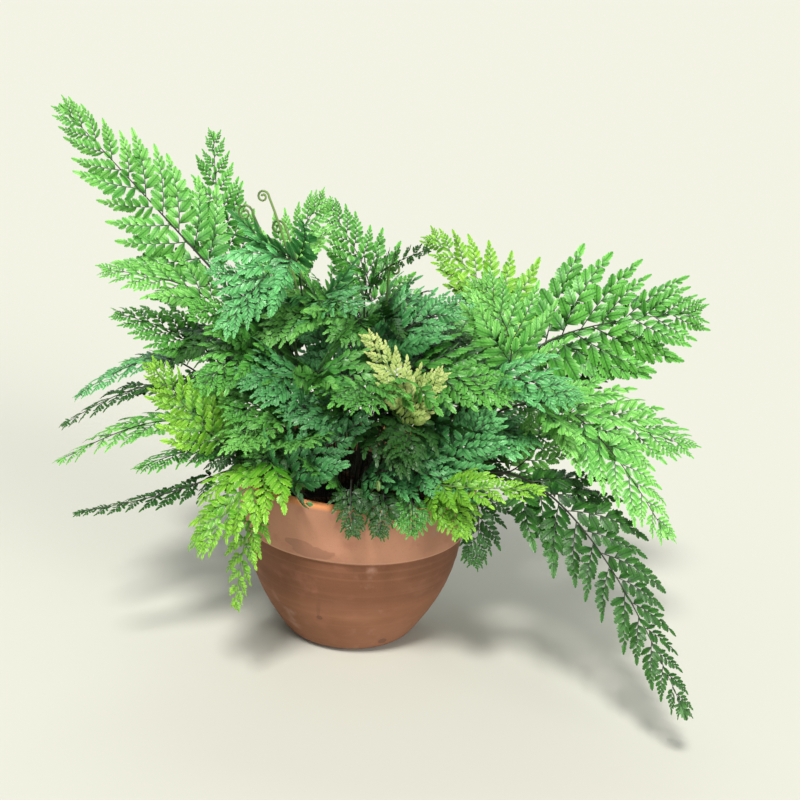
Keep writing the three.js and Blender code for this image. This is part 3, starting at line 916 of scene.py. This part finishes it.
undergrowth = undergrowth_rows(np.random.default_rng(11))
n_triangles = 0
for seed, row in enumerate(undergrowth, FIRST_SEED):
    tone = row[-1]
    piece = grow_frond("undergrowth_" + row[0], row, [LEAVES[tone], DARK_STEM], seed, plain_below=9)
    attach(piece, "root")
    n_triangles += triangles(piece)
print("undergrowth:", len(undergrowth), "triangles:", n_triangles)

# %% [markdown]
# New fronds come up coiled, and a few of them stand in the clump. Each is a thin stem whose end is
# rolled into a spiral. The whole of it is one path with a rod along it.

# %% Coiled young fronds
COILS = [
    # (foot, middle of the coil, radius of the coil)
    ((-30, 10), (-98, 34, 332), 7),
    ((-24, 16), (-84, 30, 346), 5),
    ((-16, 22), (-72, 36, 322), 6),
    ((12, 14), (20, 10, 300), 5),
    ((4, -62), (16, -108, 168), 4),
]
COIL_POINTS = 22
COIL_SIDES = 8
COIL_ACROSS = np.array([0.3, 1.0, 0.1])


def coil_path(foot, middle, radius):
    """A stem from the soil to the coil's rim, then one and a half turns of a spiral whose radius
    falls in even steps, in the upright plane of the stem's lean."""
    root, centre = np.array([*foot, SOIL_TOP - 1.0]), np.array(middle, float)
    lean = unit((centre - root) * (1, 1, 0))
    a = np.linspace(-0.5 * np.pi, 2.4 * np.pi, COIL_POINTS)
    r = np.linspace(radius, 0.22 * radius, COIL_POINTS)
    turn = np.cos(a)[:, None] * np.array([0, 0, 1]) + np.sin(a)[:, None] * lean
    spiral = centre + r[:, None] * turn
    knee = root + (centre - root) * (0.4, 0.4, 0.7)
    return np.concatenate([bend(root, knee, spiral[0], np.linspace(0, 1, 14)[:-1]), spiral])


coils = Parts()
for coil in COILS:
    path = coil_path(*coil)
    thick = np.linspace(1.1, 0.75, len(path))
    thick[-6:] *= 1.3
    across = np.cross(unit(path[-1] - path[0]), COIL_ACROSS)
    add_rods(coils, path[None], thick[None], across, COIL_SIDES)
piece = coils.build("coiled_fronds", [GREEN_STEM])
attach(piece, "root")
print("coiled fronds:", len(COILS), "triangles:", triangles(piece))

# %% [markdown]
# All fronds grow from creeping stems that lie on the soil, as thick as a pencil and covered in
# brown scales. The scales are far too fine to model, so they are a shaggy bump on a weaving rod.

# %% Creeping stems
CREEPING = 9
CREEPING_POINTS = 14
CREEPING_SIDES = 10
GOLDEN_ANGLE = math.radians(137.5)


def creeping_path(k, rng):
    """A rod on the soil: it runs outward from near the middle, weaving and half sunk. Each stem
    sets off at the golden angle from the one before, so that they spread evenly."""
    r = np.linspace(12, rng.uniform(52, 74), CREEPING_POINTS)
    a = k * GOLDEN_ANGLE + 0.35 * np.sin(r / 16 + k)
    return np.stack([r * np.cos(a), r * np.sin(a), SOIL_TOP + 1.5 + 1.2 * np.sin(r / 9 + k)], 1)


SCALES, tree, shader, place = new_material("brown_scales")
shag = noise(tree, place, 700.0, 4.0)
base = blend(tree, ramp(tree, shag, 0.35, 0.65), (0.035, 0.016, 0.008, 1), (0.17, 0.085, 0.038, 1))
tree.links.new(base, shader.inputs["Base Color"])
shader.inputs["Roughness"].default_value = 0.85
add_bump(tree, shader, shag, 0.9, 0.0012)

rng = np.random.default_rng(5)
creepers = Parts()
for k in range(CREEPING):
    path = creeping_path(k, rng)
    thick = 3.4 + 0.5 * np.sin(np.arange(CREEPING_POINTS) * 1.7 + k)
    thick[-3:] *= (0.9, 0.7, 0.35)
    add_rods(creepers, path[None], thick[None], np.array([0.0, 0.0, 1.0]), CREEPING_SIDES)
piece = creepers.build("creeping_stems", [SCALES])
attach(piece, "root")
print("creeping stems:", CREEPING, "triangles:", triangles(piece))

# %% [markdown]
# The pot is thrown clay: a bowl-shaped body, a broad band under the rim that stands out over it,
# and a rounded lip. Its outline is a profile from the middle of the underside, up the outside and
# down the inside. The body is a formula and the band is a few points. Corners are cut slightly, so
# that edges catch the light as fired clay does.

# %% The pot's outline, in millimetres
POT_HEIGHT = 146
BAND_LOW = 96
RIM_RADIUS = 99.5
BAND_RADIUS = 91.5
LEDGE = 2.5
BASE_RADIUS = 51.5
FOOT_ROUND = 7.5
BELLY = 8.5
WALL = 7.5
FLOOR_THICK = 9
MOST_CUT = 0.8


def body_radius(z):
    """Outside radius at height z: a straight taper, a swell of half a sine wave, a rounded foot."""
    share = z / BAND_LOW
    r = BASE_RADIUS + (BAND_RADIUS - LEDGE - BASE_RADIUS) * share + BELLY * np.sin(np.pi * share)
    below = np.maximum(FOOT_ROUND - z, 0)
    return r - FOOT_ROUND + np.sqrt(FOOT_ROUND**2 - below**2)


def inner_radius(z):
    """Inside radius at height z: the body less the wall, then an even flare up to the lip."""
    flare = np.interp(z, [BAND_LOW, POT_HEIGHT], [BAND_RADIUS - LEDGE - WALL, RIM_RADIUS - WALL - 1])
    return np.where(z < BAND_LOW, body_radius(np.minimum(z, BAND_LOW)) - WALL, flare)


def cut_corners(points, share=0.35):
    """Each inner corner becomes two points, a share of the way towards its nearer neighbour."""
    p = np.array(points, float)
    before, after = p[1:-1] - p[:-2], p[2:] - p[1:-1]
    nearer = np.minimum(np.linalg.norm(before, axis=1), np.linalg.norm(after, axis=1))
    cut = np.minimum(share * nearer, MOST_CUT)[:, None]
    corners = np.stack([p[1:-1] - cut * unit(before), p[1:-1] + cut * unit(after)], 1)
    return np.concatenate([p[:1], corners.reshape(-1, 2), p[-1:]])


def pot_profile():
    """(radius, height) of the underside, the body, the band with its lip, the inside, the floor."""
    under = [(4, 0), (24, 0), (38, 0)]
    up = np.concatenate([[0, 0.5, 1.3, 2.6, 4.4, 6.2], np.linspace(8, BAND_LOW, 40)])
    body = np.stack([body_radius(up), up], 1)
    band = [(0, 0.9), (1.6, 12), (3.3, 23), (5.2, 34)]
    lip = [(-0.6, -6), (0, -3.2), (-1.0, -0.9), (-3, 0), (1.2 - WALL, 0), (-0.8 - WALL, -2)]
    top = [body[-1]] + [(BAND_RADIUS + r, BAND_LOW + z) for r, z in band]
    top += [(RIM_RADIUS + r, POT_HEIGHT + z) for r, z in lip]
    down = np.linspace(POT_HEIGHT - 5, FLOOR_THICK + 3, 24)
    inside = np.stack([inner_radius(down), down], 1)
    floor = [(inside[-1, 0] - 4, FLOOR_THICK), (inside[-1, 0] - 14, FLOOR_THICK), (20, FLOOR_THICK)]
    return np.concatenate([under, body, cut_corners(top)[1:], inside, floor])


POT_PROFILE = pot_profile()
print("profile points:", len(POT_PROFILE), "widest radius (mm):", POT_PROFILE[:, 0].max())

# %% [markdown]
# A turned pot is never quite round. Carrying the profile round the axis in numpy, instead of with a
# Screw modifier, lets the radius change slowly with the angle as well as with the height.

# %% From a profile to a turned piece


def turned(profile, steps, wobble):
    """A closed surface of revolution. The radius gets slow sine waves in angle and height, and fine
    level ridges, of a fraction of a millimetre. Both ends close on a point on the axis."""
    a = np.linspace(0, 2 * np.pi, steps, endpoint=False)
    r, z = profile[:, 0][:, None], profile[:, 1][:, None]
    slow = np.sin(2 * a + z / 40) + 0.6 * np.sin(3 * a - z / 25 + 1) + 0.3 * np.sin(5 * a + z / 9)
    ridges = 0.35 * np.sin(z / 1.9 + 0.5 * np.sin(a)) * np.clip(z / 20, 0, 1)
    r = r + wobble * (slow + ridges) * np.clip(r / 60, 0, 1)
    rings = np.stack([r * np.cos(a), r * np.sin(a), z + 0 * a], -1).reshape(-1, 3)
    ring = np.arange(steps)
    following = (ring + 1) % steps
    low = steps * np.arange(len(profile) - 1)[:, None]
    high = low + steps
    quads = np.stack([low + ring, low + following, high + following, high + ring], -1)
    first_end, last_end = np.full(steps, len(rings)), np.full(steps, len(rings) + 1)
    top = (len(profile) - 1) * steps
    faces = quads.reshape(-1, 4).tolist()
    faces += np.stack([following, ring, first_end], 1).tolist()
    faces += np.stack([top + ring, top + following, last_end], 1).tolist()
    ends = [(0, 0, profile[0, 1]), (0, 0, profile[-1, 1])]
    return np.concatenate([rings, ends]), faces


def turned_piece(name, points, faces, material, sharp):
    """A smooth-shaded piece from points in millimetres. Edges over sharp degrees stay crisp."""
    mesh = bpy.data.meshes.new(name)
    mesh.from_pydata((np.asarray(points) * MM).tolist(), [], faces)
    mesh.polygons.foreach_set("use_smooth", np.ones(len(mesh.polygons), bool))
    mesh.set_sharp_from_angle(angle=math.radians(sharp))
    return placed_piece(name, mesh, [material])


POT_STEPS = 160
POT_WOBBLE = 0.22
pot_points, pot_faces = turned(POT_PROFILE, POT_STEPS, POT_WOBBLE)
print("pot points:", len(pot_points), "faces:", len(pot_faces))

# %% [markdown]
# Terracotta is fired clay: warm orange-brown, dry and rough, never one colour. Clouds of paler and
# redder clay run through it, watering has left darker damp patches on the band and a run mark down
# the front, lime shows as pale bloom, and the wheel has left fine level ridges. Each is a mask
# worked out from the place on the pot, laid over the ones before it.

# %% Terracotta
CLAY = {
    # The dark body colour is partly painted shade under the band and partly darker damp clay.
    "body": (0.165, 0.062, 0.026, 1),
    "band": (0.45, 0.215, 0.130, 1),
    "pale cloud": (0.47, 0.23, 0.14, 1),
    "red mottle": (0.30, 0.115, 0.072, 1),
    "ring": (0.50, 0.24, 0.14, 1),
    "low body": (0.40, 0.17, 0.080, 1),
    "damp": (0.20, 0.075, 0.040, 1),
    "run mark": (0.17, 0.068, 0.034, 1),
    "drop": (0.13, 0.05, 0.028, 1),
    "chip": (0.10, 0.045, 0.028, 1),
    # A painted highlight on the lower edge of the band.
    "ledge_highlight": (0.60, 0.32, 0.20, 1),
    "lip": (0.62, 0.24, 0.085, 1),
    "lime": (0.60, 0.42, 0.34, 1),
    "grit": (0.20, 0.08, 0.045, 1),
}
clay, tree, shader, place = new_material("terracotta_clay")
split = wire(tree, "ShaderNodeSeparateXYZ", None, Vector=place)
x, y, z = (split.outputs[axis] for axis in "XYZ")
cloud_place = wire(tree, "ShaderNodeMapping", None, Vector=place, Scale=(1, 1, 1.7)).outputs[0]
ring_place = wire(tree, "ShaderNodeMapping", None, Vector=place, Scale=(0.5, 0.5, 30.0)).outputs[0]
clouds = noise(tree, cloud_place, 20.0, 3.0)
mottle = noise(tree, place, 70.0, 5.0)
grain = noise(tree, place, 900.0, 3.0)
rings = noise(tree, ring_place, 12.0, 3.0)
lime = noise(tree, place, 35.0, 6.0)


def patch(across, up, half_width, half_height, ragged):
    """1 inside an ellipse on the pot's front and 0 outside: the sum of the squares of the two
    distances from its middle, each as a share of the ellipse, and of a ragged edge."""
    dx = math_node(tree, "DIVIDE", minus(tree, x, across), half_width)
    dz = math_node(tree, "DIVIDE", minus(tree, z, up), half_height)
    apart = plus(tree, times(tree, dx, dx), times(tree, dz, dz))
    apart = plus(tree, apart, times(tree, minus(tree, mottle, 0.5), ragged))
    return times(tree, ramp(tree, apart, 1.15, 0.75), ramp(tree, y, 0.0, -0.02))


wide_damp = patch(-0.030, 0.1025, 0.020, 0.0050, 3.4)
small_damp = patch(-0.042, 0.1075, 0.011, 0.0040, 3.0)
damp = math_node(tree, "MAXIMUM", wide_damp, small_damp)
chip = patch(0.028, 0.012, 0.0035, 0.0035, 1.0)
low_body = ramp(tree, plus(tree, z, times(tree, clouds, 0.03)), 0.078, 0.060)
# Painted highlight: a thin lighter line along the lower edge of the band.
ledge_highlight = times(tree, ramp(tree, z, 0.0950, 0.0962), ramp(tree, z, 0.0990, 0.0972))
# The body is far darker than the band: partly painted shade, as the body faces down, partly damp clay.
base = blend(tree, ramp(tree, z, 0.0945, 0.0965), CLAY["body"], CLAY["band"])
for mask, strength, colour in (
    (ramp(tree, clouds, 0.40, 0.75), 0.20, "pale cloud"),
    (ramp(tree, mottle, 0.50, 0.75), 0.4, "red mottle"),
    (ramp(tree, rings, 0.48, 0.70), 0.08, "ring"),
    (low_body, 0.28, "low body"),
    (damp, 0.45, "damp"),
    (patch(-0.024, 0.050, 0.0016, 0.011, 0.6), 0.45, "run mark"),
    (patch(-0.023, 0.040, 0.0026, 0.0024, 0.5), 0.7, "drop"),
    (chip, 0.6, "chip"),
    (ledge_highlight, 0.5, "ledge_highlight"),
    (ramp(tree, z, 0.1405, 0.1445), 1.0, "lip"),
    (ramp(tree, lime, 0.60, 0.78), 0.30, "lime"),
    (ramp(tree, grain, 0.55, 0.75), 0.18, "grit"),
):
    base = tinted(tree, base, mask, strength, CLAY[colour])
tree.links.new(base, shader.inputs["Base Color"])
tree.links.new(minus(tree, 0.86, times(tree, damp, 0.2)), shader.inputs["Roughness"])
relief = plus(tree, times(tree, rings, 0.45), times(tree, grain, 0.35))
add_bump(tree, shader, minus(tree, relief, chip), 0.45, 0.0006)
print("layers of clay colour:", len(CLAY))

# %% [markdown]
# The drain holes are bored through the pot's floor before firing. A Boolean with three rods does
# the same, and the rods are deleted afterwards.

# %% The pot
DRAIN_RADIUS = 6
DRAIN_OUT = 26
DRAIN_TURNS = (90, 210, 330)


def bore(piece, turn):
    """One drain hole, at an angle round the axis in degrees."""
    a = math.radians(turn)
    centre = (DRAIN_OUT * math.cos(a) * MM, DRAIN_OUT * math.sin(a) * MM, FLOOR_THICK * MM / 2)
    size = {"radius": DRAIN_RADIUS * MM, "depth": 3 * FLOOR_THICK * MM}
    bpy.ops.mesh.primitive_cylinder_add(vertices=40, location=centre, **size)
    rod = bpy.context.object
    cut = piece.modifiers.new("drain", "BOOLEAN")
    cut.operation, cut.object, cut.solver = "DIFFERENCE", rod, "EXACT"
    evaluated = piece.evaluated_get(bpy.context.evaluated_depsgraph_get())
    bored = bpy.data.meshes.new_from_object(evaluated)
    piece.modifiers.clear()
    piece.data = bored
    bpy.data.objects.remove(rod, do_unlink=True)


pot = turned_piece("clay_pot", pot_points, pot_faces, clay, 35)
for turn in DRAIN_TURNS:
    bore(pot, turn)
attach(pot, "root")
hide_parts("pot")
print("pot triangles:", triangles(pot))

# %% [markdown]
# The soil is a loose, crumbly mix that fills the pot to just under the rim. Its top is a disc of
# rings with clods pressed up from it, and its sides follow the inside of the pot, a hair's breadth
# clear of it. Where the clods are small, bump and dark fibres in the finish carry on.

# %% The soil
GAP = 0.3
SOIL_STEPS = 120
TOP_RINGS = 46
CLOD_WAVES = 26
CLOD_HEIGHT = 3.0
MOUND = 2.2


def clod_heights(px, py, rng):
    """The size of a sum of sine waves in many directions, scaled so that its largest is 1."""
    waves = np.zeros_like(px)
    for _ in range(CLOD_WAVES):
        way, size = rng.uniform(0, 2 * np.pi), rng.uniform(1.2, 6.0)
        waves += np.sin((px * np.cos(way) + py * np.sin(way)) / size + rng.uniform(0, 6.3)) * size**0.6
    return np.abs(waves) / np.abs(waves).max()


def soil_surface(steps, rng):
    """A turned plug in the pot's inside. The height of its top is a mound that falls with the
    square of the radius, plus clods."""
    low = np.array([FLOOR_THICK + GAP, FLOOR_THICK + 3, 20, 34, 52, 74, 96, SOIL_TOP - 1.5])
    side = inner_radius(low) - 2 * GAP
    side[0] = inner_radius(FLOOR_THICK + 3) - 4.6
    wall = np.stack([side, low], 1)
    radii = np.linspace(1, 0.02, TOP_RINGS) * (side[-1] - 0.4)
    a = np.linspace(0, 2 * np.pi, steps, endpoint=False)
    clods = clod_heights(radii[:, None] * np.cos(a), radii[:, None] * np.sin(a), rng)
    mound = MOUND * (1 - (radii[:, None] / radii[0]) ** 2)
    top = SOIL_TOP - 1.5 + mound + CLOD_HEIGHT * clods
    level = np.stack([radii, np.full(TOP_RINGS, SOIL_TOP)], 1)
    points, faces = turned(np.concatenate([[(4, low[0])], wall, level]), steps, 0)
    start = (1 + len(wall)) * steps
    points[start:start + top.size, 2] = top.ravel()
    points[-1, 2] = top[-1].mean()
    return points, faces


soil_look, tree, shader, place = new_material("potting_soil_mix")
crumbs = wire(tree, "ShaderNodeTexVoronoi", None, Vector=place, Scale=420.0)
fibre = noise(tree, place, 260.0, 6.0)
base = blend(tree, ramp(tree, fibre, 0.35, 0.7), (0.008, 0.005, 0.003, 1), (0.045, 0.026, 0.014, 1))
pale_crumbs = ramp(tree, crumbs.outputs["Color"], 0.78, 0.95)
base = tinted(tree, base, pale_crumbs, 0.5, (0.12, 0.075, 0.04, 1))
tree.links.new(base, shader.inputs["Base Color"])
tree.links.new(plus(tree, 0.8, times(tree, fibre, 0.15)), shader.inputs["Roughness"])
add_bump(tree, shader, plus(tree, fibre, crumbs.outputs["Distance"]), 0.8, 0.0012)

soil_points, soil_faces = soil_surface(SOIL_STEPS, np.random.default_rng(7))
soil = turned_piece("loose_soil", soil_points, soil_faces, soil_look, 60)
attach(soil, "root")
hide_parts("soil")
print("soil triangles:", triangles(soil))

# %% [markdown]
# The floor is wide and pale, so the plant stands in a plain light space. It has no gloss at all: a
# glossy floor would mirror the surround and show a line where it ends. It is only a stage, and not
# part of the object.

# %% Floor
FLOOR_REACH = 60.0
FLOOR_SHADE = 0.615

floor_look, tree, shader, place = new_material("pale_floor")
shader.inputs["Base Color"].default_value = (*(FLOOR_SHADE * c for c in PALE), 1)
shader.inputs["Roughness"].default_value = 1.0
shader.inputs["Specular IOR Level"].default_value = 0.0
floor_mesh = bpy.data.meshes.new("floor")
floor_corners = [(x * FLOOR_REACH, y * FLOOR_REACH, 0) for x, y in ((-1, -1), (1, -1), (1, 1), (-1, 1))]
floor_mesh.from_pydata(floor_corners, [], [(0, 1, 2, 3)])
floor = placed_piece("floor", floor_mesh, [floor_look])
print("floor reaches", FLOOR_REACH, "m each way")

# %% [markdown]
